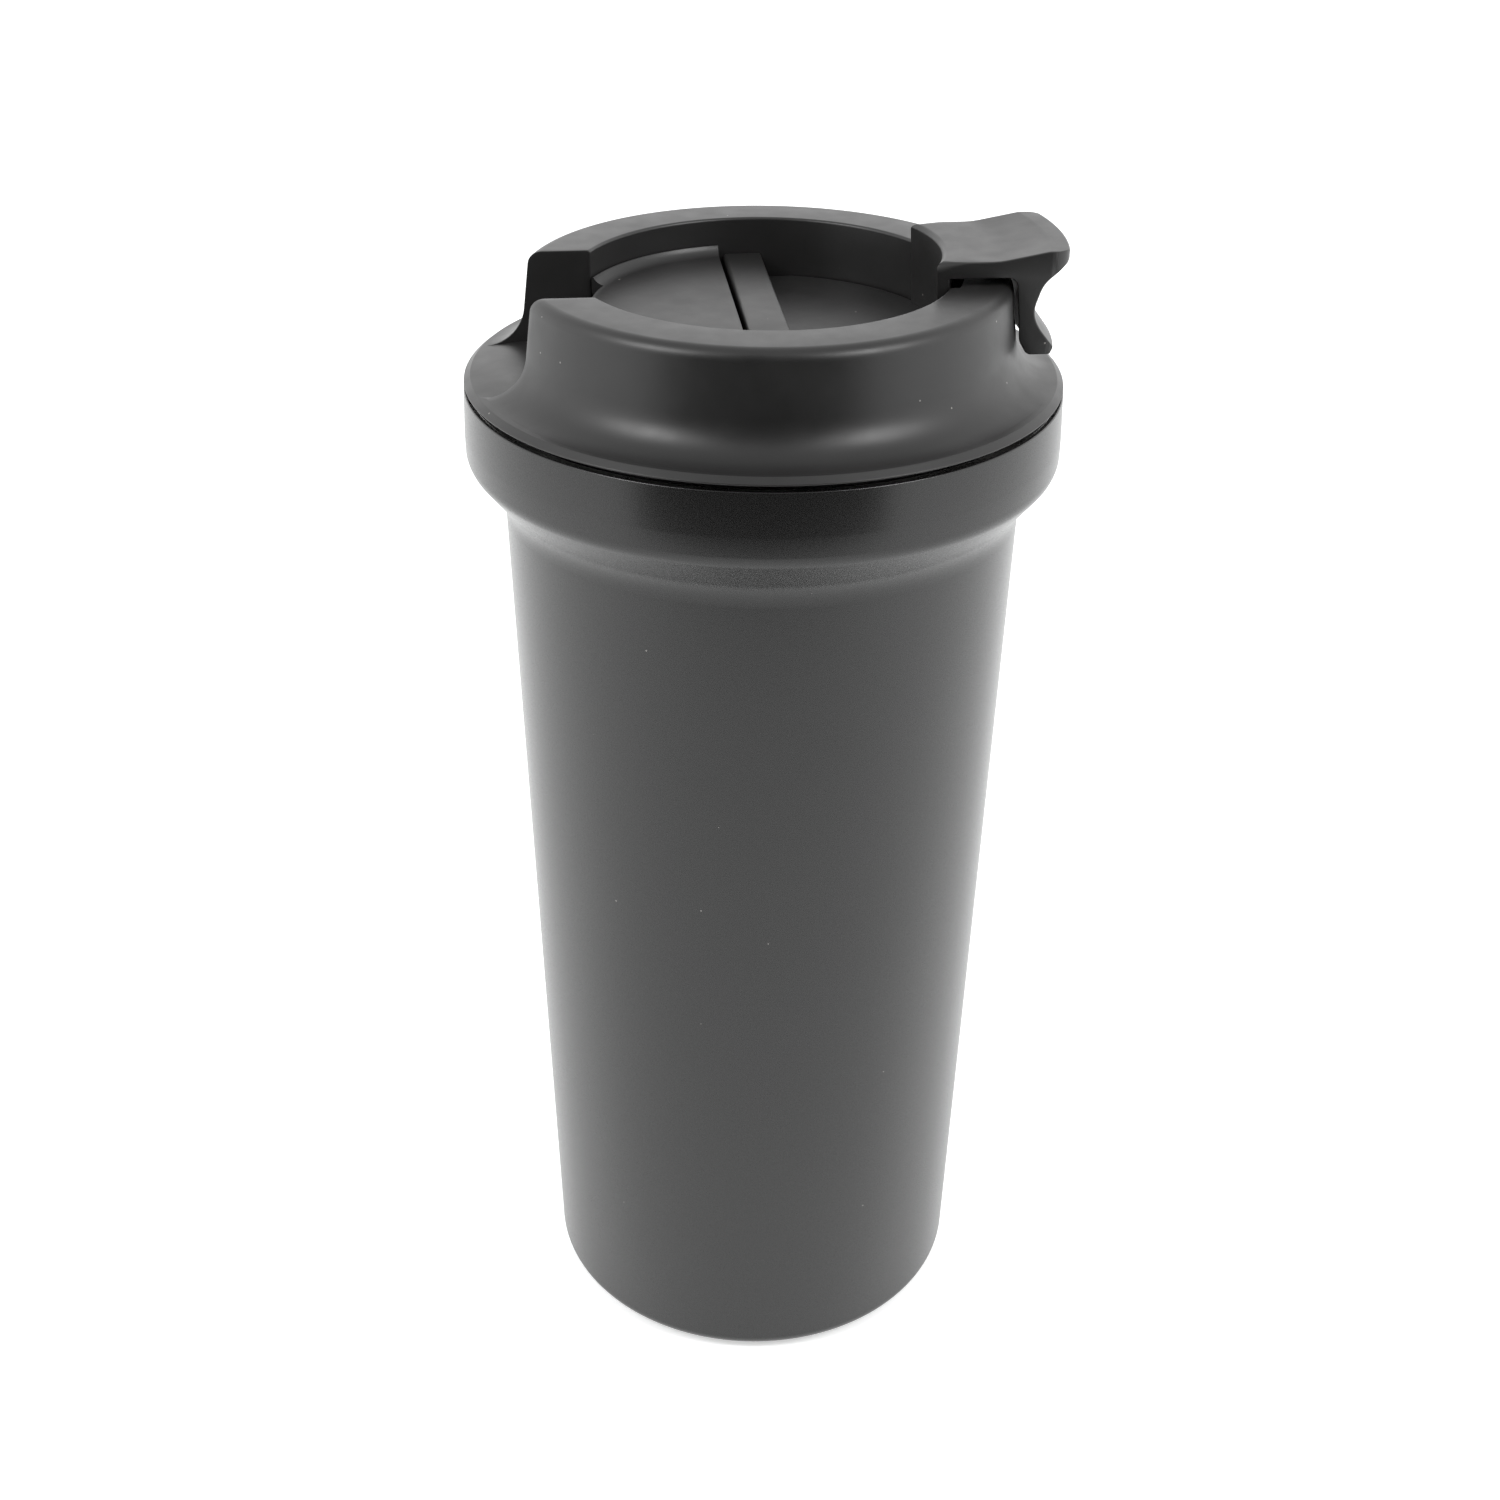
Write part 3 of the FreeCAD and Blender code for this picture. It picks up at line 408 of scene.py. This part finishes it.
def sealing_glass():
    """Grey fused glass bead with small bubbles."""
    made, tree, shader = surface("sealing_glass", specular=0.6)
    bubbles = noise(tree, 1800, 3)
    tree.links.new(tinted(tree, spread(tree, bubbles, 0, 1), (0.20, 0.23, 0.20),
                          (0.30, 0.33, 0.29)), shader.inputs["Base Color"])
    tree.links.new(spread(tree, bubbles, 0.08, 0.2), shader.inputs["Roughness"])
    tree.links.new(bump(tree, [(bubbles, 0.2, 0.00005)]), shader.inputs["Normal"])
    return made


def sintered():
    """Dark sintered metal pill."""
    made, tree, shader = surface("sintered", metallic=1.0)
    grain = noise(tree, 3000, 4)
    tree.links.new(tinted(tree, spread(tree, grain, 0, 1), (0.12, 0.12, 0.12),
                          (0.26, 0.25, 0.24)), shader.inputs["Base Color"])
    tree.links.new(spread(tree, grain, 0.5, 0.8), shader.inputs["Roughness"])
    tree.links.new(bump(tree, [(grain, 0.6, 0.0001)]), shader.inputs["Normal"])
    return made


def adhesive_film():
    """Milky adhesive film."""
    made, tree, shader = surface("adhesive_film")
    cloud = noise(tree, 400, 3)
    tree.links.new(tinted(tree, spread(tree, cloud, 0, 1), (0.66, 0.63, 0.56),
                          (0.76, 0.73, 0.67)), shader.inputs["Base Color"])
    tree.links.new(spread(tree, cloud, 0.35, 0.5), shader.inputs["Roughness"])
    return made


LID_DARK, LID_LIGHT = (0.0100, 0.0098, 0.0098), (0.0125, 0.0122, 0.0121)
MATERIALS = {
    "powder_coat": powder_coat(),
    "bare_steel": brushed_steel("bare_steel"),
    "foil": foil(),
    "sealing_glass": sealing_glass(),
    "getter_metal": sintered(),
    "adhesive": adhesive_film(),
    "dark_silicone": silicone("dark_silicone", (0.028, 0.028, 0.030), (0.040, 0.040, 0.042)),
    "lid_plastic": moulded("lid_plastic", LID_DARK, LID_LIGHT, 0.40, 0.00002),
    "core_plastic": moulded("core_plastic", (0.040, 0.039, 0.039), (0.048, 0.047, 0.047),
                            0.42, 0.00001),
    "foam": bead_foam(),
    "screw_steel": brushed_steel("screw_steel", 0.3, 0.52),
    "clear_grey_silicone": silicone("clear_grey_silicone", (0.26, 0.27, 0.28),
                                    (0.32, 0.33, 0.34)),
    "pin_steel": brushed_steel("pin_steel", 0.2, 0.62),
}


def finish_piece(obj, slot, body, *nodes):
    """Gives a new piece its material and its body, and hides the CAD nodes that it stands for.
    """
    obj.data.materials.clear()
    obj.data.materials.append(MATERIALS[slot])
    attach(obj, body)
    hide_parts(*nodes)


def soften(obj):
    """Smooth normals on a CAD node whose faces don't share corners; its points stay put."""
    sharp = math.radians(35.0)
    mesh = obj.data
    loops = len(mesh.loops)
    corner = np.zeros(loops, int)
    mesh.loops.foreach_get("vertex_index", corner)
    points = np.zeros(len(mesh.vertices) * 3)
    mesh.vertices.foreach_get("co", points)
    places = np.round(points.reshape(-1, 3) * 1e6).astype(np.int64)
    _, spot = np.unique(places, axis=0, return_inverse=True)
    spot = spot.reshape(-1)[corner]
    face_of_loop = np.repeat(np.arange(len(mesh.polygons)),
                             [len(face.vertices) for face in mesh.polygons])
    normals = np.array([face.normal for face in mesh.polygons])
    areas = np.array([face.area for face in mesh.polygons])
    order = np.argsort(spot, kind="stable")
    limits = np.flatnonzero(np.diff(spot[order])) + 1
    made = np.zeros((loops, 3))
    for group in np.split(order, limits):
        faces = face_of_loop[group]
        own = normals[faces]
        near = own @ own.T > math.cos(sharp)
        made[group] = (near * areas[faces]) @ own
    made /= np.maximum(np.linalg.norm(made, axis=1), 1e-12)[:, None]
    mesh.shade_smooth()
    mesh.normals_split_custom_set([tuple(n) for n in made])


# ---- vessel ----

def make_shell():
    """Outer shell: rounded foot, cone, cove under the flare, shoulder and collar."""
    shell = lathe("shell", [
        (32.8, 1.6), (32.8, 0.8), (35.33, 0.8, 2.4), (39.15, 147.88, 7.0),
        (44.6, 154.61, 3.0), (44.6, 158.5, 12.0), (44.35, 165.0, 0.2),
        (43.55, 164.7, 0.1), (43.8, 158.5), (43.8, 154.9, 2.2), (38.35, 148.17, 7.8),
        (34.6, 3.4), (33.4, 1.6)])
    finish_piece(shell, "powder_coat", "vessel", "outer_shell")


def make_liner():
    """Inner vessel with the stepped neck and the bare rim inside the collar."""
    liner = lathe("liner", [
        (0, 7.0), (33.0, 7.0, 6.0), (36.4, 146.5, 4.0), (42.9, 154.5, 3.0), (42.9, 164.0),
        (43.5, 164.0), (43.5, 164.6, 0.1), (42.3, 164.6, 0.25), (42.3, 154.7, 3.0),
        (35.8, 146.7, 4.0), (32.4, 7.6, 5.4), (0, 7.6)])
    finish_piece(liner, "bare_steel", "vessel", "inner_liner")


def make_pad():
    """Base pad with a recessed middle and a rounded rim."""
    pad = lathe("pad", [
        (0, 0.4), (24.0, 0.4, 0.4), (24.4, 0.0, 0.2), (32.4, 0.0, 0.45), (32.4, 0.75),
        (30.2, 0.75), (29.2, 2.45), (0, 2.45)])
    finish_piece(pad, "dark_silicone", "vessel", "base_pad")


# ---- lid ----

FLANGE_EDGE = (43.3, 166.75)
SWEEP_CORNER = (37.44, 167.63, 6.5)
RING_SECTION = [
    (RING_INNER, 166.0), (42.4, 166.0), (42.4, 166.886), SWEEP_CORNER,
    (35.85, RING_TOP, 2.0), (RING_INNER, RING_TOP, 0.45),
]
HALF_RING_STEPS = 90


def notched_ring():
    """Raised ring with its sweep, open at the notch, its cut edges rounded."""
    section = rounded(RING_SECTION, 6)
    edge = edge_steps(NOTCH_EDGE)
    sections = []
    for inward, distance in edge:
        sections.append([notch_place(p, NOTCH_HALF_WIDTH + distance)
                         for p in inset(section, inward)])
    start = NOTCH_HALF_WIDTH + edge[-1][1]
    for count in range(1, HALF_RING_STEPS):
        share = count / HALF_RING_STEPS
        row = []
        for p in section:
            first = math.asin(start / p.x)
            angle = first + (math.pi - first) * share
            row.append((-p.x * math.cos(angle), p.x * math.sin(angle), p.y))
        sections.append(row)
    middle = [(p.x, 0.0, p.y) for p in section]
    mirrored = [[(x, -y, z) for x, y, z in row] for row in reversed(sections)]
    return loft("ring", sections + [middle] + mirrored)


def notch_place(point, offset):
    """Point of the turned section at a distance from the notch's middle plane."""
    return (-math.sqrt(point.x ** 2 - offset ** 2), offset, point.y)


def riser_pocket():
    """Cutter for the room of the lever's riser in the ring's inner wall."""
    pocket = lathe("pocket", [
        (20.0, DECK_TOP), (POCKET_RADIUS, DECK_TOP), (POCKET_RADIUS, 182), (20.0, 182)])
    width = rectangle(10, 40, -POCKET_HALF_WIDTH, POCKET_HALF_WIDTH)
    return boolean(pocket, prism("pocket_width", width, 167, 183), "INTERSECT")


def leg_relief():
    """Cutter for the shallow relief behind the lever's leg."""
    relief = lathe("relief", [
        (RELIEF_RADIUS, RELIEF_FLOOR), (44.0, RELIEF_FLOOR), (44.0, 182), (RELIEF_RADIUS, 182)])
    width = rectangle(10, 50, -NOTCH_HALF_WIDTH, NOTCH_HALF_WIDTH)
    return boolean(relief, prism("relief_width", width, 174, 183), "INTERSECT")


def make_lid_shell():
    """Lip and flange with the raised ring, and the lever's room cut from it."""
    flange = lathe("lid_shell_piece", [
        (31.1, 165.7), (44.12, 165.7, 0.1), (44.35, 165.93, 0.15), (*FLANGE_EDGE, 0.2),
        (38.45, 167.44, 15.0), (31.1, 167.45)], step=1)
    ring = notched_ring()
    boolean(ring, riser_pocket(), "DIFFERENCE")
    boolean(ring, leg_relief(), "DIFFERENCE")
    boolean(flange, ring, "UNION")
    core = lathe("core_room", [
        (0, 160), (CORE_RADIUS, 160), (CORE_RADIUS, DECK_TOP), (0, DECK_TOP)])
    boolean(flange, core, "DIFFERENCE")
    finish_piece(flange, "lid_plastic", "lid", "lid_shell")


def make_cover():
    """D-shaped hinge cover: coved raised edge round the back, skirt below."""
    cover = lathe("cover", [
        (0, COVER_UNDER), (COVER_SKIRT_INNER, COVER_UNDER), (COVER_SKIRT_INNER, 167.55),
        (COVER_SKIRT_OUTER, 167.55), (COVER_SKIRT_OUTER, COVER_UNDER),
        (27.1, COVER_UNDER, 0.1), (27.1, 177.15, 0.13), (26.8, 177.15, 0.13),
        (26.2, COVER_TOP, 2.2), (0, COVER_TOP)], step=7)
    away = prism("away", rectangle(-4.3, 40, -30, 30), COVER_UNDER, 180)
    # The two cutters overlap by a thousandth, so that they unite.
    away_low = prism("away_low", rectangle(-5.0, 40, -30, 30), 160, COVER_UNDER + 0.001)
    boolean(away, away_low, "UNION")
    notch = lathe("cover_notch", [
        (COVER_SKIRT_OUTER, 170), (30, 170), (30, 180), (COVER_SKIRT_OUTER, 180)])
    width = rectangle(-40, -10, -COVER_NOTCH_HALF_WIDTH, COVER_NOTCH_HALF_WIDTH)
    boolean(notch, prism("notch_width", width, 169, 181), "INTERSECT")
    boolean(cover, away, "DIFFERENCE")
    boolean(cover, notch, "DIFFERENCE")
    finish_piece(cover, "lid_plastic", "lid", "hinge_cover")


# ---- flap ----

LEVER_SECTION = [
    # Riser's foot, its outer face and the underside of the head.
    (21.4, PLATE_UNDER), (27.2, PLATE_UNDER), (27.2, 182.3),
    # Inner side of the leg, its toe and its hollow outer side.
    (36.5, 182.3, 1.5), (37.3, 173.0, 2.0), (38.5, 170.9, 1.2), (41.8, 170.9, 0.3),
    (42.25, 171.9, 0.4), (40.2, 174.6, 3.0), (38.9, 176.9, 4.0), (40.2, 181.2, 4.5),
    # Free end of the head, its raised tip and its top.
    (43.35, 184.05, 0.3), (LEVER_END_RADIUS, 184.5, 0.2),
    (LEVER_END_RADIUS, HEAD_TIP_TOP, 0.4), (40.8, HEAD_TIP_TOP, 3.0), (34.0, HEAD_TOP, 12.0),
    # Inner face of the riser.
    (25.4, HEAD_TOP, 0.8), (26.0, PLATE_TOP), (21.4, PLATE_TOP),
]
HALF_LEVER_STEPS = 24


def soft_corner_room():
    """Room for the lever that softens its two corners above the riser."""
    half = LEVER_HALF_WIDTH + 0.02
    top_of_head = HEAD_TOP + 0.02
    sections = []
    for x, corner, top in ((15.0, 1.7, top_of_head), (24.2, 1.5, top_of_head),
                           (25.6, 0.9, top_of_head), (27.2, 0.4, top_of_head),
                           (28.6, 0.1, top_of_head), (28.8, 0.1, 190.0), (50.0, 0.1, 190.0)):
        outline = rounded([(-half, 160), (half, 160), (half, top, corner),
                           (-half, top, corner)], 12)
        sections.append([(x, p.x, p.y) for p in outline])
    return loft("soft_corner_room", sections)


def lever_corner(side):
    """Upright cutter that rounds one corner of the lever's free end seen from above."""
    # The small offsets keep the round from touching the lever's own faces edge to edge.
    centre_y = LEVER_HALF_WIDTH - LEVER_CORNER - 0.03
    centre_x = math.sqrt((LEVER_END_RADIUS - LEVER_CORNER + 0.02) ** 2 - centre_y ** 2)
    turn = math.pi / 2 + math.atan2(-centre_y, centre_x)
    plan = []
    steps = 12
    for count in range(steps + 1):
        angle = -math.pi / 2 + turn * count / steps
        plan.append((centre_x + LEVER_CORNER * math.cos(angle),
                     -centre_y + LEVER_CORNER * math.sin(angle)))
    back_x = centre_x - 0.4
    plan += [(50, -10), (50, -13), (back_x, -13), (back_x, -LEVER_HALF_WIDTH - 0.05)]
    if side > 0:
        plan = [(x, -y) for x, y in plan]
    else:
        plan.reverse()
    return prism("lever_corner", plan, 160, 190)


def make_lever():
    """Riser, head and leg, with rounded long edges."""
    section = rounded(LEVER_SECTION, 8)
    sections = []
    for inward, distance in edge_steps(LEVER_EDGE):
        row = []
        for p in inset(section, inward):
            y = LEVER_HALF_WIDTH - distance
            row.append((math.sqrt(p.x ** 2 - y ** 2), -y, p.y))
        sections.append(row)
    for count in range(1, HALF_LEVER_STEPS):
        share = count / HALF_LEVER_STEPS
        row = []
        for p in section:
            angle = -math.asin((LEVER_HALF_WIDTH - LEVER_EDGE) / p.x) * (1 - share)
            row.append((p.x * math.cos(angle), p.x * math.sin(angle), p.y))
        sections.append(row)
    middle = [(p.x, 0.0, p.y) for p in section]
    mirrored = [[(x, -y, z) for x, y, z in row] for row in reversed(sections)]
    lever = loft("lever", sections + [middle] + mirrored)
    for side in (-1, 1):
        boolean(lever, lever_corner(side), "DIFFERENCE", "MANIFOLD")
    boolean(lever, soft_corner_room(), "INTERSECT", "MANIFOLD")
    return lever


def make_bar():
    """Bar with the round knuckle behind it, its ends on the recess's circle."""
    section = rounded([
        (HINGE_X, PLATE_UNDER), (2.4, PLATE_UNDER), (2.4, 175.8, 0.3), (-3.5, 175.8, 0.6),
        (-3.5, 171.0, 2.95), (HINGE_X, 171.0)], 9)
    rows = []
    for inward, distance in edge_steps(0.3):
        rows.append([(p.x, math.sqrt(FLAP_RADIUS ** 2 - p.x ** 2) - distance, p.y)
                     for p in inset(section, inward)])
    mirrored = [[(x, -y, z) for x, y, z in row] for row in reversed(rows)]
    return loft("bar", rows + mirrored)


def make_flap():
    """Flip lever in one moulding: bar, lower plate, riser, head and leg."""
    flap = make_bar()
    plate = lathe("plate", [(0, PLATE_UNDER), (FLAP_RADIUS, PLATE_UNDER, 0.2),
                            (FLAP_RADIUS, PLATE_TOP, 0.2), (0, PLATE_TOP)])
    width = rectangle(HINGE_X, 30, -PLATE_HALF_WIDTH, PLATE_HALF_WIDTH)
    boolean(plate, prism("plate_width", width, 170, 173), "INTERSECT")
    boolean(flap, plate, "UNION")
    boolean(flap, make_lever(), "UNION")
    boolean(flap, rod_on_hinge("bore", BORE_RADIUS, 30.0), "DIFFERENCE")
    flap.name = "flip_lever"
    finish_piece(flap, "lid_plastic", "flap", "flap")


def rod_on_hinge(name, radius, half_length):
    """Rod on the hinge axis."""
    steps = 32
    rows = []
    for y in (half_length, -half_length):
        rows.append([(HINGE_X + radius * math.cos(2 * math.pi * i / steps), y,
                      HINGE_Z + radius * math.sin(2 * math.pi * i / steps))
                     for i in range(steps)])
    return loft(name, rows)


make_shell()
make_liner()
make_pad()
make_lid_shell()
make_cover()
make_flap()

for subpart in frame["record"]["subparts"]:
    cad_node = frame["nodes"][subpart["node"]]
    if cad_node.hide_render:
        continue
    cad_node.data.materials.clear()
    cad_node.data.materials.append(MATERIALS[subpart["material_slot"]])
    soften(cad_node)


# ---- floor, light and camera ----

def plain(name, colour):
    """Even matt material for the stage."""
    made, _, shader = surface(name, specular=0.2)
    shader.inputs["Roughness"].default_value = 0.9
    shader.inputs["Base Color"].default_value = (*colour, 1)
    return made


def sheet_at(name, centre, across, up, material):
    """Flat rectangle for the stage, in millimetres."""
    c, a, u = Vector(centre), Vector(across), Vector(up)
    obj = mesh_object(name, [c - a - u, c + a - u, c + a + u, c - a + u], [[0, 1, 2, 3]])
    obj.data.materials.append(material)
    return obj


# The lid is turned this far from square on to the camera.
TURN = math.radians(6.8)


def from_view(right, away, height):
    """Point given by its distance to the right of the view, away from it and up."""
    cos, sin = math.cos(TURN), math.sin(TURN)
    return Vector((cos * right + sin * away, -sin * right + cos * away, height))


def make_stage():
    """White floor, and a dark card in front of the mug that only reflections show."""
    white = plain("white_sheet", (0.86, 0.87, 0.87))
    glow = white.node_tree.nodes["Principled BSDF"]
    glow.inputs["Emission Color"].default_value = (1.0, 1.0, 1.0, 1)
    glow.inputs["Emission Strength"].default_value = 0.5
    sheet_at("floor", (0, 0, -0.02), (3000, 0, 0), (0, 3000, 0), white)
    card = sheet_at("dark_card", from_view(0, -330, 330), from_view(320, 0, 0),
                    Vector((0, 0, 330)), plain("black_card", (0.01, 0.01, 0.01)))
    card.visible_camera = False


def make_softbox(name, place, target, size, power):
    """Rectangular light aimed at a target, in millimetres and watts."""
    data = bpy.data.lights.new(name, "AREA")
    data.energy = power
    data.shape = "RECTANGLE"
    data.size, data.size_y = size[0] * MM, size[1] * MM
    obj = bpy.data.objects.new(name, data)
    obj.location = Vector(place) * MM
    aim = (Vector(target) - Vector(place)).normalized()
    obj.rotation_mode = "QUATERNION"
    obj.rotation_quaternion = aim.to_track_quat("-Z", "Y")
    bpy.context.scene.collection.objects.link(obj)


def make_lights():
    """White room, brighter low down than overhead, and two softboxes beside the camera."""
    world = bpy.data.worlds.new("white_room")
    world.use_nodes = True
    tree = world.node_tree
    back = tree.nodes["Background"]
    place = node(tree, "TexCoord")
    parts = node(tree, "SeparateXYZ")
    tree.links.new(place.outputs["Generated"], parts.inputs["Vector"])
    tree.links.new(spread(tree, parts.outputs["Z"], 1.75, 0.75, 0.2, 1.0),
                   back.inputs["Strength"])
    back.inputs["Color"].default_value = (1.0, 1.0, 1.0, 1)
    bpy.context.scene.world = world
    for side in (-1, 1):
        make_softbox("softbox", from_view(400 * side, -280, 600), (0, 0, 165), (260, 260), 2.2)


# Focal length as a multiple of the picture's width.
LENS_PER_WIDTH = 1.358
SENSOR_WIDTH = 36.0
CAMERA_DISTANCE = 290.7
CAMERA_HEIGHT = 268.65


def make_camera():
    """Camera above the lid's height, looking down at the mug."""
    data = bpy.data.cameras.new("camera")
    data.sensor_width = SENSOR_WIDTH
    data.lens = SENSOR_WIDTH * LENS_PER_WIDTH
    data.clip_start, data.clip_end = 0.01, 20.0
    obj = bpy.data.objects.new("camera", data)
    pitch, yaw, roll = 0.5241, -0.0047, 0.0114
    ahead = Vector((math.sin(yaw) * math.cos(pitch), math.cos(yaw) * math.cos(pitch),
                    -math.sin(pitch)))
    right = Vector((math.cos(yaw), -math.sin(yaw), 0))
    above = right.cross(ahead)
    cos, sin = math.cos(roll), math.sin(roll)
    tilted_right = right * cos + above * sin
    tilted_above = above * cos - right * sin
    axes = [from_view(*axis) for axis in (tilted_right, tilted_above, -ahead)]
    turn = Matrix(axes).transposed().to_4x4()
    place = from_view(0, -CAMERA_DISTANCE, CAMERA_HEIGHT) * MM
    obj.matrix_world = Matrix.Translation(place) @ turn
    bpy.context.scene.collection.objects.link(obj)
    bpy.context.scene.camera = obj


make_stage()
make_lights()
make_camera()
bpy.context.scene.view_settings.view_transform = "Standard"
